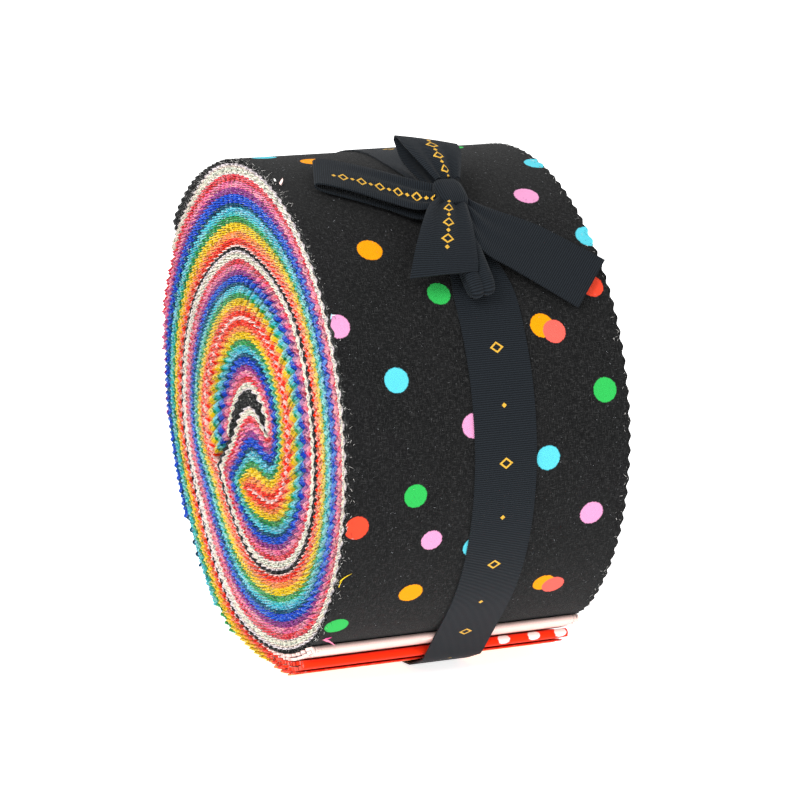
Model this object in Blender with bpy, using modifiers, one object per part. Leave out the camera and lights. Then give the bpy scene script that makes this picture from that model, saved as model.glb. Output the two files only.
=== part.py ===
"""A roll of forty folded cotton strips, wound edge on and tied round its middle with a ribbon in a bow.

The roll's axis runs along Y, and it lies on a small flat spot at z = 0. The strips are stacked, and the stack is wound
from an S-shaped core into two and a half turns. Every table below gives millimetres from the roll's centre and degrees.
"""

import bpy
import bmesh
import numpy as np

MM = 0.001
STRIP_WIDTH = 63.5
FLAT_SPOT_DROP = 54.9
BOX_MIDDLE_X = -0.24
TURN_GAP = 0.5
EDGE_ROUND = 0.8
PIECE_GAP = 0.3
SHEET = 1.0
SHARP_ANGLE = 40.0

RIBBON_WIDTH = 13.8
BAND_MIDDLE_Y = 3.3
BAND_FLOOR_CLEARANCE = 0.1
CHANNEL_SLOPE = 0.5
BAND_LINES = 120

# The black side of the wound stack, where the angle is counter-clockwise from +X seen from -Y: degrees, radius
OUTER_SIDE = [
    (-141, 26.9), (-130, 27.8), (-120, 28.5), (-110, 29.6), (-100, 31.0), (-90, 32.7), (-78, 34.4),
    (-58, 37.4), (-38, 41.0), (-20, 43.0), (-4, 43.0), (12, 42.3), (30, 41.6), (44, 40.3),
    (57, 38.3), (78, 36.2), (97, 36.3), (122, 36.5), (140, 38.6), (157, 41.8), (177, 45.2), (194, 47.2),
    (208, 46.6), (222, 46.2), (238, 47.7), (256, 50.0), (280, 51.6), (294, 53.6), (306, 55.6),
]
# Beyond that the cloth follows an ellipse over the roll's front and top: half its width and height, its first and last
# angle, and the step between its rows
FRONT_ELLIPSE = (60.6, 55.3)
FRONT_ANGLES = (318, 468)
FRONT_STEP = 6
# The same side from there on, also where its own strips have ended and it only sets the others' places
OUTER_SIDE_PAST_FRONT = [
    (482, 56.9), (494, 58.4), (504, 60.2), (516, 62.6), (530, 65.6), (545, 66.6), (560, 65.8), (575, 65.4),
    (590, 66.8), (605, 67.8), (618, 68.0), (630, 66.8), (640, 66.8), (650, 73.0), (660, 96.0),
]

# The line where the core's coral side meets that of the turn around it: degrees, radius
INNER_SIDE = [
    (-94, 17.3), (-90, 17.3), (-84, 17.5), (-78, 17.8), (-62, 19.8), (-48, 22.6), (-24, 24.9), (0, 25.1),
    (24, 24.3), (48, 22.6), (76, 21.1), (104, 20.7), (134, 21.8), (160, 24.4), (180, 28.4), (196, 31.0),
    (206, 30.6), (214, 28.9), (222, 27.4),
]

# The line through the core where the stack's black side meets itself, from the inner bend to the left bend: x, z
MEETING_LINE = [
    (11.2, -0.8), (9.4, 1.0), (6.0, 3.0), (2.2, 3.7), (-2.8, 1.9), (-6.9, -1.6), (-9.8, -5.3),
    (-13.2, -9.2), (-17.0, -12.4), (-20.9, -16.9),
]

# Lines across the stack in its core: share of the meeting line, degrees on the inner side
CORE_RUNGS = [
    (0.68, 214), (0.62, 202), (0.54, 188), (0.46, 172), (0.39, 153), (0.32, 132), (0.26, 110), (0.19, 86),
    (0.13, 62), (0.08, 38), (0.04, 16), (0.015, -4), (0.0, -24), (0.02, -42), (0.08, -56), (0.17, -66),
    (0.28, -74), (0.40, -80), (0.52, -85), (0.64, -88), (0.76, -90), (0.88, -91.5), (1.0, -93),
]

# The same round the left bend, where the black side runs on outwards: degrees on the outer side, on the inner side
BEND_RUNGS = [(-131, -94), (-120, -93), (-109, -91), (-98, -86), (-88, -78), (-78, -68)]

# Angles on the outer side: where the turn below takes over from the core, where the black side starts to be the roll's
# outside, where it may meet the floor, and where the roll's own solid ends
JOINED_FROM = 222.0
OUTSIDE_FROM = 312.0
FLOOR_FROM = 600.0
BODY_END = 650.0
TURN_STEP = 10.0
LINES_PER_STEP = 3

# Colours of the stack from its black side inwards, how many strips each has, and where they end on the last turn
STRIP_RUNS = [
    ("black", 2, 503), ("cream", 5, 509), ("red", 3, 530), ("pink", 3, 538), ("purple", 3, 554),
    ("blue", 4, 578), ("teal", 2, 592), ("aqua", 4, 605), ("green", 3, 618), ("yellow", 4, 640),
]
STRIPS = 40
STEP_WIDTH = 0.35

# Loose ends of strips that lie on the turn below: name, colour, layers under it, first and last angle
LOOSE_ENDS = [
    ("end_pale_pink", (1.0, 0.77, 0.66), 0, 651.0, 671.0),
    ("end_red", (0.9, 0.03, 0.02), 1, 651.0, 662.5),
    ("end_orange", (0.95, 0.35, 0.03), 2, 651.0, 657.5),
]
# The black end lies over the cloth of the same turn, in a lowered stretch that is a little longer than itself
BLACK_END = (457.0, 503.0)
BLACK_END_ROOM = (1.0, 2.5)
END_STEP = 3.0
END_POINTS_ACROSS = 4

# The ribbon's pieces as rows of: degrees clockwise from the top, y, height over the roll, width, and the way that the
# width runs, in degrees from +Y towards clockwise
LEFT_LOOP = [
    (31.2, -3.2, 3.0, 5.0, -50), (28.0, -7.6, 2.0, 10.4, -55), (22.8, -15.0, 1.4, 12.6, -64),
    (18.8, -19.8, 1.1, 12.8, -71), (17.8, -21.0, 2.1, 12.8, -73), (18.8, -19.8, 3.1, 12.8, -71),
    (22.8, -15.0, 3.8, 12.6, -64), (28.0, -7.6, 4.8, 9.4, -55), (31.2, -3.2, 5.6, 5.0, -50),
]
UPPER_LOOP = [
    (29.2, 3.0, 3.0, 5.5, 0), (25.6, 2.6, 3.4, 9.0, 10), (21.0, 2.6, 4.6, 12.4, 22), (17.6, 2.8, 6.4, 13.0, 28),
    (16.8, 2.9, 7.6, 13.0, 28), (17.8, 2.8, 8.8, 13.0, 28), (21.6, 2.6, 8.2, 12.0, 22), (26.0, 2.6, 7.2, 8.6, 10),
    (29.2, 3.0, 6.2, 5.5, 0),
]
LOWER_LOOP = [
    (38.0, 2.6, 2.2, 5.0, 0), (45.0, 2.6, 2.2, 5.6, 0), (52.0, 2.4, 2.2, 5.8, 0), (56.4, 2.2, 2.2, 5.6, 0),
    (57.5, 2.2, 2.95, 5.2, 0), (56.4, 2.2, 3.7, 5.6, 0), (52.0, 2.4, 3.7, 5.8, 0), (45.0, 2.6, 3.7, 5.6, 0),
    (38.0, 2.6, 3.7, 5.0, 0),
]
DOWN_TAIL = [
    (37.9, 0.2, 5.6, 6.4, 0), (43.5, -1.5, 5.9, 9.8, 2), (49.0, -3.6, 5.5, 13.4, 4), (54.6, -5.5, 4.9, 16.0, 3),
]
RIGHT_TAIL = [
    (35.0, 6.7, 5.2, 6.0, -70), (41.5, 9.6, 5.0, 10.6, -58), (48.0, 15.2, 3.8, 13.6, -50),
    (52.6, 21.2, 2.3, 13.8, -48), (57.2, 27.0, 1.6, 13.8, -48),
]
# The knot's middle as degrees clockwise, y and height, and its size clockwise, along Y and outwards
KNOT_PLACE = (33.4, 2.1, 4.6)
KNOT_SIZE = (7.4, 6.4, 5.2)
KNOT_ROUND = 1.4
RIBBON_STEPS = 3
RIBBON_POINTS_ACROSS = 4

BLACK_COTTON = (0.012, 0.013, 0.014)
RIBBON_BLACK = (0.008, 0.012, 0.018)
COTTON_ROUGHNESS = 0.9
RIBBON_ROUGHNESS = 0.7


def clear_scene():
    for thing in list(bpy.data.objects):
        bpy.data.objects.remove(thing)


def collection(name):
    made = bpy.data.collections.new(name)
    bpy.context.scene.collection.children.link(made)
    return made


def material(name, colour, roughness):
    made = bpy.data.materials.new(name)
    made.use_nodes = True
    shader = made.node_tree.nodes["Principled BSDF"]
    shader.inputs["Base Color"].default_value = (*colour, 1.0)
    shader.inputs["Roughness"].default_value = roughness
    shader.inputs["Metallic"].default_value = 0.0
    return made


def smooth(places, values, at):
    """A curve through values (rows) at the given places, read at the places in at."""
    places = np.asarray(places, float)
    values = np.asarray(values, float)
    slopes = np.gradient(values, places, axis=0)
    row = np.clip(np.searchsorted(places, at, side="right") - 1, 0, len(places) - 2)
    step = (places[row + 1] - places[row]).reshape(-1, *[1] * (values.ndim - 1))
    t = ((at - places[row]) / (places[row + 1] - places[row])).reshape(step.shape)
    return (
        (1 + 2 * t) * (1 - t) ** 2 * values[row]
        + t * (1 - t) ** 2 * step * slopes[row]
        + t * t * (3 - 2 * t) * values[row + 1]
        + t * t * (t - 1) * step * slopes[row + 1]
    )


def ellipse_radius(degrees):
    turn = np.radians(degrees)
    return 1.0 / np.hypot(np.cos(turn) / FRONT_ELLIPSE[0], np.sin(turn) / FRONT_ELLIPSE[1])


def whole_outer_side():
    """The table of the stack's black side with the ellipse of the roll's front in its place."""
    front = np.arange(FRONT_ANGLES[0], FRONT_ANGLES[1] + 1, FRONT_STEP)
    return OUTER_SIDE + list(zip(front, ellipse_radius(front))) + OUTER_SIDE_PAST_FRONT


def radius(table, degrees):
    rows = np.array(table, float)
    return smooth(rows[:, 0], rows[:, 1], np.atleast_1d(np.asarray(degrees, float)))


def at_angle(degrees, distance):
    turn = np.radians(np.atleast_1d(degrees))
    return np.stack([distance * np.cos(turn), distance * np.sin(turn)], axis=-1)


def outer_side(degrees):
    return at_angle(degrees, radius(whole_outer_side(), degrees))


def inner_side(degrees):
    """The coral side: the meeting line of the core at first, and then the black side of the turn below."""
    degrees = np.atleast_1d(np.asarray(degrees, float))
    below = radius(whole_outer_side(), np.maximum(degrees - 360.0, OUTER_SIDE[0][0]))
    core = radius(INNER_SIDE, np.minimum(degrees, INNER_SIDE[-1][0]))
    return at_angle(degrees, np.where(degrees < JOINED_FROM, core, below))


def meeting_line(share):
    rows = np.array(MEETING_LINE, float)
    reach = np.concatenate([[0.0], np.cumsum(np.linalg.norm(np.diff(rows, axis=0), axis=1))])
    return smooth(reach / reach[-1], rows, np.atleast_1d(np.asarray(share, float)))


def lowered_stretch():
    return BLACK_END[0] - BLACK_END_ROOM[0], BLACK_END[1] + BLACK_END_ROOM[1]


def stack_rungs(steps, last):
    """Lines across the stack from its inner end outwards, as rows of x and z on the black and on the coral side, with
    each line's angle on the outer side, which is only counted from the left bend on."""
    core = np.array(CORE_RUNGS, float)
    bend = np.array(BEND_RUNGS, float)
    turn = np.arange(bend[-1, 0] + TURN_STEP, OUTER_SIDE_PAST_FRONT[-1][0], TURN_STEP)
    black = np.concatenate([meeting_line(core[:, 0]), outer_side(bend[:, 0]), outer_side(turn)])
    coral = np.concatenate([inner_side(core[:, 1]), inner_side(bend[:, 1]), inner_side(turn)])
    rungs = np.concatenate([black, coral], axis=1)
    before = OUTER_SIDE[0][0] - TURN_STEP * np.arange(len(core) - 1, -1, -1)
    angles = np.concatenate([before, bend[:, 0], turn])
    reach = np.concatenate([[0.0], np.cumsum(np.sqrt(np.linalg.norm(np.diff(rungs, axis=0), axis=1)))])
    first_turn = np.searchsorted(angles, OUTER_SIDE[0][0], side="right")
    fine = [np.linspace(reach[i], reach[i + 1], steps, endpoint=False) for i in range(first_turn)]
    fine = np.concatenate(fine + [reach[first_turn : first_turn + 1]])
    inner = smooth(reach, rungs, fine)
    inner_angles = np.interp(fine, reach, angles)
    wanted = np.arange(angles[first_turn] + TURN_STEP / steps, last, TURN_STEP / steps)
    steps_at = [end for _, _, end in STRIP_RUNS] + list(lowered_stretch())
    ends = np.array([step + side for step in steps_at for side in (-STEP_WIDTH, STEP_WIDTH)])
    far_from_ends = np.min(np.abs(wanted[:, None] - ends[None, :]), axis=1) > 2 * STEP_WIDTH
    wanted = np.sort(np.concatenate([wanted[far_from_ends], ends[ends < last], [last]]))
    outer = np.concatenate([outer_side(wanted), inner_side(wanted)], axis=1)
    past_bend = wanted <= bend[-1, 0] + TURN_STEP
    outer[past_bend] = smooth(reach, rungs, np.interp(wanted[past_bend], angles, reach))
    return np.concatenate([inner, outer]), np.concatenate([inner_angles, wanted])


def share_ended(angles):
    """The share of the stack, from its black side, whose strips have ended by each angle."""
    ended = np.zeros(len(angles))
    for _, count, end in STRIP_RUNS:
        ended += count / STRIPS * np.clip((angles - end + STEP_WIDTH) / (2 * STEP_WIDTH), 0.0, 1.0)
    return ended


def section_outline():
    """The wound stack's lines, cut back where strips have ended and where the black end lies in a piece of its own."""
    rungs, angles = stack_rungs(LINES_PER_STEP, BODY_END)
    black, coral = rungs[:, :2].copy(), rungs[:, 2:].copy()
    across = coral - black
    thickness = np.linalg.norm(across, axis=1, keepdims=True)
    across /= thickness
    cut = share_ended(angles)[:, None] * thickness
    lowered_from, lowered_to = lowered_stretch()
    under_black = (angles > lowered_from) & (angles < lowered_to)
    cut[under_black] = np.maximum(cut[under_black], SHEET + PIECE_GAP)
    black += across * (cut + TURN_GAP / 2 * (angles < OUTSIDE_FROM)[:, None])
    coral -= across * TURN_GAP / 2
    near_floor = angles > FLOOR_FROM
    black[near_floor, 1] = np.maximum(black[near_floor, 1], -FLAT_SPOT_DROP)
    return black, coral, across, angles


def to_world(points):
    """Millimetres from the roll's centre, in rows of x, y and z, as metres from the middle of the box's bottom."""
    return (np.asarray(points, float) + (-BOX_MIDDLE_X, 0.0, FLAT_SPOT_DROP)) * MM


def mesh_object(name, points, faces, look, into):
    mesh = bpy.data.meshes.new(name)
    mesh.from_pydata([tuple(p) for p in points], [], faces)
    mesh.update()
    bm = bmesh.new()
    bm.from_mesh(mesh)
    bmesh.ops.recalc_face_normals(bm, faces=bm.faces)
    bm.to_mesh(mesh)
    bm.free()
    mesh.materials.append(look)
    mesh.shade_smooth()
    mesh.set_sharp_from_angle(angle=np.radians(SHARP_ANGLE))
    made = bpy.data.objects.new(name, mesh)
    into.objects.link(made)
    return made


def ring_faces(rings, points, closed):
    """Quads between rings of points, with a face at each end unless the rings close into a loop."""
    faces = []
    for i in range(rings if closed else rings - 1):
        here, there = i * points, (i + 1) % rings * points
        for j in range(points):
            after = (j + 1) % points
            faces.append((here + j, here + after, there + after, there + j))
    if not closed:
        faces.append(tuple(range(points)))
        faces.append(tuple((rings - 1) * points + j for j in range(points)))
    return faces


def band_bottom():
    """How low cloth may reach under the ribbon, so that the ribbon stays over the floor."""
    return -FLAT_SPOT_DROP + BAND_FLOOR_CLEARANCE + SHEET + PIECE_GAP


def build_roll(look, into):
    black, coral, across, angles = section_outline()
    half = STRIP_WIDTH / 2
    low = BAND_MIDDLE_Y - RIBBON_WIDTH / 2 - PIECE_GAP
    high = BAND_MIDDLE_Y + RIBBON_WIDTH / 2 + PIECE_GAP
    pressed = black.copy()
    near_floor = angles > FLOOR_FROM
    pressed[near_floor, 1] = np.maximum(pressed[near_floor, 1], band_bottom())
    loop = [
        (black, 0.0, -half + EDGE_ROUND), (black, 0.0, low - CHANNEL_SLOPE), (pressed, 0.0, low),
        (pressed, 0.0, high), (black, 0.0, high + CHANNEL_SLOPE), (black, 0.0, half - EDGE_ROUND),
        (black, EDGE_ROUND, half), (coral, -EDGE_ROUND, half), (coral, 0.0, half - EDGE_ROUND),
        (coral, 0.0, -half + EDGE_ROUND), (coral, -EDGE_ROUND, -half), (black, EDGE_ROUND, -half),
    ]
    points = np.zeros((len(black), len(loop), 3))
    for j, (side, inset, y) in enumerate(loop):
        points[:, j, 0] = side[:, 0] + across[:, 0] * inset
        points[:, j, 1] = y
        points[:, j, 2] = side[:, 1] + across[:, 1] * inset
    faces = ring_faces(len(black), len(loop), closed=False)
    return mesh_object("roll", to_world(points.reshape(-1, 3)), faces, look, into)


def solidify(thing, thickness):
    shell = thing.modifiers.new("thickness", "SOLIDIFY")
    shell.thickness = thickness * MM
    shell.offset = 0.0
    shell.use_even_offset = True
    return thing


def grid_faces(rows, columns, closed=False):
    faces = []
    for i in range(rows if closed else rows - 1):
        here, there = i * columns, (i + 1) % rows * columns
        for j in range(columns - 1):
            faces.append((here + j, here + j + 1, there + j + 1, there + j))
    return faces


def outward(line, closed=False):
    """Unit normals of a line in the x and z plane, pointing away from the roll's centre."""
    along = np.roll(line, -1, axis=0) - np.roll(line, 1, axis=0) if closed else np.gradient(line, axis=0)
    normal = np.stack([along[:, 1], -along[:, 0]], axis=1)
    normal /= np.linalg.norm(normal, axis=1, keepdims=True)
    return normal * np.sign(np.sum(normal * line, axis=1, keepdims=True))


def lying_sheet(name, line, look, into):
    """A strip's end that follows a line in the x and z plane, as wide as the strips."""
    across = np.linspace(-STRIP_WIDTH / 2, STRIP_WIDTH / 2, END_POINTS_ACROSS)
    points = [(x, y, z) for x, z in line for y in across]
    made = mesh_object(name, to_world(points), grid_faces(len(line), END_POINTS_ACROSS), look, into)
    return solidify(made, SHEET)


def end_angles(first, last):
    return np.linspace(first, last, max(3, int((last - first) / END_STEP) + 1))


def end_line(layers_under, first, last):
    """The middle of a loose end that lies on the turn below, over a number of others."""
    angles = end_angles(first, last)
    below = inner_side(angles)
    height = PIECE_GAP + SHEET / 2 + layers_under * (PIECE_GAP + SHEET)
    return below + outward(below) * height


def black_end_line():
    angles = end_angles(*BLACK_END)
    black, coral = outer_side(angles), inner_side(angles)
    across = (coral - black) / np.linalg.norm(coral - black, axis=1, keepdims=True)
    return black + across * SHEET / 2


def turns_left(a, b, c):
    return (b[0] - a[0]) * (c[1] - a[1]) > (b[1] - a[1]) * (c[0] - a[0])


def convex_hull(points):
    """The corners of the tightest convex line round points in a plane, counter-clockwise."""
    points = sorted(map(tuple, points))
    corners = []
    for order in (points, points[::-1]):
        side = []
        for point in order:
            while len(side) > 1 and not turns_left(side[-2], side[-1], point):
                side.pop()
            side.append(point)
        corners += side[:-1]
    return np.array(corners)


def band_base():
    """The closed line that a tight ribbon follows round the roll, in steps of equal length, from the top clockwise."""
    black, _, _, angles = section_outline()
    outer = [black[angles > OUTSIDE_FROM]]
    for _, _, under, first, last in LOOSE_ENDS:
        line = end_line(under, first, last)
        outer.append(line + outward(line) * SHEET / 2)
    line = black_end_line()
    outer.append(line + outward(line) * SHEET / 2)
    points = np.concatenate(outer)
    points[:, 1] = np.maximum(points[:, 1], band_bottom())
    hull = convex_hull(points)
    clock = np.degrees(np.arctan2(hull[:, 0], hull[:, 1]))
    hull = hull[np.argsort(clock)]
    hull = np.concatenate([hull, hull[:1]])
    reach = np.concatenate([[0.0], np.cumsum(np.linalg.norm(np.diff(hull, axis=0), axis=1))])
    even = np.linspace(0.0, reach[-1], BAND_LINES, endpoint=False)
    return np.stack([np.interp(even, reach, hull[:, k]) for k in (0, 1)], axis=1)


def build_band(look, into):
    base = band_base()
    line = base + outward(base, closed=True) * (PIECE_GAP + SHEET / 2)
    line[:, 1] = np.maximum(line[:, 1], band_bottom() - PIECE_GAP - SHEET / 2)
    low, high = BAND_MIDDLE_Y - RIBBON_WIDTH / 2, BAND_MIDDLE_Y + RIBBON_WIDTH / 2
    points = [(x, y, z) for x, z in line for y in (low, BAND_MIDDLE_Y, high)]
    made = mesh_object("ribbon_band", to_world(points), grid_faces(len(line), 3, closed=True), look, into)
    return solidify(made, SHEET)


def over_roll(clock, y, height):
    """Points over the roll's outer cloth: degrees clockwise from the top, y and the height along the normal."""
    base = band_base()
    normal = outward(base, closed=True)
    turned = np.degrees(np.arctan2(base[:, 0], base[:, 1]))
    order = np.argsort(turned)
    place = np.stack([np.interp(clock, turned[order], base[order, k]) for k in (0, 1)], axis=1)
    away = np.stack([np.interp(clock, turned[order], normal[order, k]) for k in (0, 1)], axis=1)
    away /= np.linalg.norm(away, axis=1, keepdims=True)
    place = place + away * np.asarray(height)[:, None]
    points = np.stack([place[:, 0], y, place[:, 1]], axis=1)
    normals = np.stack([away[:, 0], np.zeros(len(away)), away[:, 1]], axis=1)
    return points, normals


def ribbon_grid(rows):
    """Points of a flat ribbon along rows of places, as lines across it."""
    rows = np.array(rows, float)
    last = len(rows) - 1
    fine = smooth(np.arange(len(rows)), rows, np.linspace(0, last, RIBBON_STEPS * last + 1))
    points, normals = over_roll(fine[:, 0], fine[:, 1], fine[:, 2])
    lengthwise = np.array([0.0, 1.0, 0.0])
    clockwise = np.cross(lengthwise, normals)
    turn = np.radians(fine[:, 4:5])
    across = lengthwise * np.cos(turn) + clockwise * np.sin(turn)
    places = np.linspace(-0.5, 0.5, RIBBON_POINTS_ACROSS)
    return points[:, None, :] + across[:, None, :] * fine[:, 3, None, None] * places[None, :, None]


def ribbon_piece(name, rows, look, into):
    """A stretch of ribbon as a sheet of even thickness."""
    grid = ribbon_grid(rows)
    faces = grid_faces(grid.shape[0], grid.shape[1])
    return solidify(mesh_object(name, to_world(grid.reshape(-1, 3)), faces, look, into), SHEET)


def build_knot(look, into):
    clock, y, height = KNOT_PLACE
    middle, _ = over_roll(np.array([clock]), np.array([y]), np.array([height]))
    mesh = bpy.data.meshes.new("ribbon_knot")
    bm = bmesh.new()
    bmesh.ops.create_cube(bm, size=1.0)
    bmesh.ops.scale(bm, vec=[s * MM for s in KNOT_SIZE], verts=bm.verts)
    bmesh.ops.bevel(bm, geom=bm.edges[:], offset=KNOT_ROUND * MM, segments=3, profile=0.5, affect="EDGES")
    bm.to_mesh(mesh)
    bm.free()
    mesh.materials.append(look)
    mesh.shade_smooth()
    made = bpy.data.objects.new("ribbon_knot", mesh)
    made.location = to_world(middle)[0]
    made.rotation_euler = (0.0, np.radians(clock), 0.0)
    into.objects.link(made)
    return made


def main():
    clear_scene()
    part = collection("fabric_strip_roll")
    cloth = material("black_cotton", BLACK_COTTON, COTTON_ROUGHNESS)
    ribbon = material("grosgrain_ribbon", RIBBON_BLACK, RIBBON_ROUGHNESS)
    build_roll(cloth, part)
    lying_sheet("end_black", black_end_line(), cloth, part)
    for name, colour, under, first, last in LOOSE_ENDS:
        look = material(name + "_cotton", colour, COTTON_ROUGHNESS)
        lying_sheet(name, end_line(under, first, last), look, part)
    build_band(ribbon, part)
    build_knot(ribbon, part)
    ribbon_piece("ribbon_loop_left", LEFT_LOOP, ribbon, part)
    ribbon_piece("ribbon_loop_upper", UPPER_LOOP, ribbon, part)
    ribbon_piece("ribbon_loop_lower", LOWER_LOOP, ribbon, part)
    ribbon_piece("ribbon_tail_down", DOWN_TAIL, ribbon, part)
    ribbon_piece("ribbon_tail_right", RIGHT_TAIL, ribbon, part)


main()
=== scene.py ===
"""The looks of a roll of forty folded, pinked cotton strips, tied with a printed ribbon in a bow.

Every strip is a thin sheet of cloth of its own, wound on the lines of the stack's section. The tables give
millimetres from the roll's centre and degrees, as the solids' own tables do.
"""

import bpy
import numpy as np
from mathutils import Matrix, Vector
from mathutils.geometry import convex_hull_2d


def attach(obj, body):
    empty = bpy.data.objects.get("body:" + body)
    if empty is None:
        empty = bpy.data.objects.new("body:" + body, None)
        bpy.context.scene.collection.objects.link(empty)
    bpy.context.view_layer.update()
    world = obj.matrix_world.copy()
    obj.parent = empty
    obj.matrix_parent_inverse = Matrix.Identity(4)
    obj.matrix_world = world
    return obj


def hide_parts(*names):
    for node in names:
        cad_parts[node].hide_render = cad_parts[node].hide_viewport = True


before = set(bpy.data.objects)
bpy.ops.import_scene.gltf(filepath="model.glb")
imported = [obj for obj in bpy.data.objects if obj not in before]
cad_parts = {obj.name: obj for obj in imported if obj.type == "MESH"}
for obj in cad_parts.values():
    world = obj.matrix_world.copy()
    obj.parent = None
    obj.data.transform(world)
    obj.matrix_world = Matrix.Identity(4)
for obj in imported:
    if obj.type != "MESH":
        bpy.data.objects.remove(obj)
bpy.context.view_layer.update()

MM = 0.001
STRIP_WIDTH = 63.5
HALF_WIDTH = STRIP_WIDTH / 2
LENGTHWISE = np.array([0.0, 1.0, 0.0])
FLAT_SPOT_DROP = 54.9
BOX_MIDDLE_X = -0.24

# The camera in millimetres from the roll's centre: its place, what it looks at, its lens and its sensor
CAMERA_PLACE = (603.0, -241.5, 150.7)
CAMERA_TARGET = (1.624, 3.979, -0.107)
CAMERA_LENS = 134.55
CAMERA_SENSOR = 36.0
# The stage in metres and watts: the floor's own glow and half its side, and the lamp over the camera's
# side
FLOOR_GLOW = 0.8
FLOOR_REACH = 3.0
LAMP_PLACE = (0.55, -0.75, 0.9)
LAMP_TARGET = (0.0, 0.0, 0.05)
LAMP_SIZE = 0.6
LAMP_POWER = 9.0

# The black side of the wound stack: angle counter-clockwise from +X seen from -Y, and radius
OUTER_SIDE = [
    (-141, 26.9), (-130, 27.8), (-120, 28.5), (-110, 29.6), (-100, 31.0), (-90, 32.7), (-78, 34.4),
    (-58, 37.4), (-38, 41.0), (-20, 43.0), (-4, 43.0), (12, 42.3), (30, 41.6), (44, 40.3),
    (57, 38.3), (78, 36.2), (97, 36.3), (122, 36.5), (140, 38.6), (157, 41.8), (177, 45.2), (194, 47.2),
    (208, 46.6), (222, 46.2), (238, 47.7), (256, 50.0), (280, 51.6), (294, 53.6), (306, 55.6),
]
# Half the width and height of the ellipse that the roll's front and top follow, its angles and their step
FRONT_ELLIPSE = (60.6, 55.3)
FRONT_ANGLES = (318, 468)
FRONT_STEP = 6
OUTER_SIDE_PAST_FRONT = [
    (482, 56.9), (494, 58.4), (504, 60.2), (516, 62.6), (530, 65.6), (545, 66.6), (560, 65.8), (575, 65.4),
    (590, 66.8), (605, 67.8), (618, 68.0), (640, 68.0), (690, 70.0),
]
# The line where the core's coral side meets that of the turn around it
INNER_SIDE = [
    (-94, 17.3), (-90, 17.3), (-84, 17.5), (-78, 17.8), (-62, 19.8), (-48, 22.6), (-24, 24.9), (0, 25.1),
    (24, 24.3), (48, 22.6), (76, 21.1), (104, 20.7), (134, 21.8), (160, 24.4), (180, 28.4), (196, 31.0),
    (206, 30.6), (214, 28.9), (222, 27.4),
]
# The line through the core where the stack's black side meets itself: x, z
MEETING_LINE = [
    (11.2, -0.8), (9.4, 1.0), (6.0, 3.0), (2.2, 3.7), (-2.8, 1.9), (-6.9, -1.6), (-9.8, -5.3),
    (-13.2, -9.2), (-17.0, -12.4), (-20.9, -16.9),
]
# Lines across the stack in its core: share of the meeting line, degrees on the inner side
CORE_RUNGS = [
    (0.68, 214), (0.62, 202), (0.54, 188), (0.46, 172), (0.39, 153), (0.32, 132), (0.26, 110), (0.19, 86),
    (0.13, 62), (0.08, 38), (0.04, 16), (0.015, -4), (0.0, -24), (0.02, -42), (0.08, -56), (0.17, -66),
    (0.28, -74), (0.40, -80), (0.52, -85), (0.64, -88), (0.76, -90), (0.88, -91.5), (1.0, -93),
]
# The same round the left bend: degrees on the outer side, on the inner side
BEND_RUNGS = [(-131, -94), (-120, -93), (-109, -91), (-98, -86), (-88, -78), (-78, -68)]
JOINED_FROM = 222.0
TURN_STEP = 10.0
LINES_PER_STEP = 8

# Past these angles, where cloth has ended, the layers left keep the pitch of a stack this thick
EVEN_FROM = (585.0, 615.0)
EVEN_THICKNESS = 18.6
# Where layers may meet the floor, how far over it they stay, and over how many degrees pressing spreads
FLOOR_FROM = 590.0
CLOTH_CLEARANCE = 0.42
PRESS_SPREAD = 3.0

# The stack's colours from its black side inwards: name, strips, the angle where they end, colour, back,
# print
RUNS = [
    ("black", 2, 506.5, (0.008, 0.0085, 0.009), (0.05, 0.05, 0.05), "dots"),
    ("cream", 5, 512.0, (0.86, 0.78, 0.71), (0.93, 0.9, 0.86), "sprigs"),
    ("red", 3, 530.0, (0.8, 0.008, 0.02), (0.93, 0.5, 0.48), "checks"),
    ("pink", 3, 538.0, (0.84, 0.16, 0.36), (0.95, 0.62, 0.7), "dots"),
    ("purple", 3, 554.0, (0.26, 0.022, 0.24), (0.72, 0.36, 0.66), "stripes"),
    ("blue", 4, 578.0, (0.006, 0.065, 0.56), (0.26, 0.5, 0.88), "sprigs"),
    ("teal", 2, 592.0, (0.004, 0.045, 0.1), (0.1, 0.36, 0.5), "checks"),
    ("aqua", 4, 605.0, (0.03, 0.46, 0.58), (0.55, 0.87, 0.9), "dots"),
    ("green", 3, 618.0, (0.01, 0.29, 0.06), (0.42, 0.78, 0.44), "stripes"),
    ("yellow", 4, 640.0, (0.86, 0.55, 0.006), (0.95, 0.82, 0.36), "sprigs"),
    ("orange", 3, 656.0, (0.9, 0.27, 0.02), (0.95, 0.62, 0.42), "checks"),
    ("red_orange", 3, 664.0, (0.9, 0.03, 0.004), (0.95, 0.6, 0.5), "plain"),
    ("pale_pink", 1, 671.0, (1.0, 0.78, 0.66), (1.0, 0.84, 0.75), "plain"),
]
STRIPS = 40
LAYERS = 2 * STRIPS

# How much paler the backs are than the prints, as a share of the way to the colour given
BACK_SHARE = 0.8
# The cloth of each layer as a share of the layers' pitch
CLOTH_SHARE = 0.66

# The pinked edges' teeth, and the runs with rounder teeth: their depth, and stations on each tooth
TOOTH_PITCH = 3.15
TOOTH_DEPTH = 1.5
ROUND_TEETH = {"black": 0.55, "cream": 0.85}
ROUND_STATIONS = 6
# How far a strip's two teeth rows lie apart, and how far the teeth of each strip and of a few runs stray
LEG_PHASE = 0.8
PHASE_JITTER = 0.12
LOOSE_TEETH = {"black": 1.6, "cream": 1.3, "purple": 0.3, "blue": 0.25, "orange": 0.3, "red_orange": 0.4}
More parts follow.
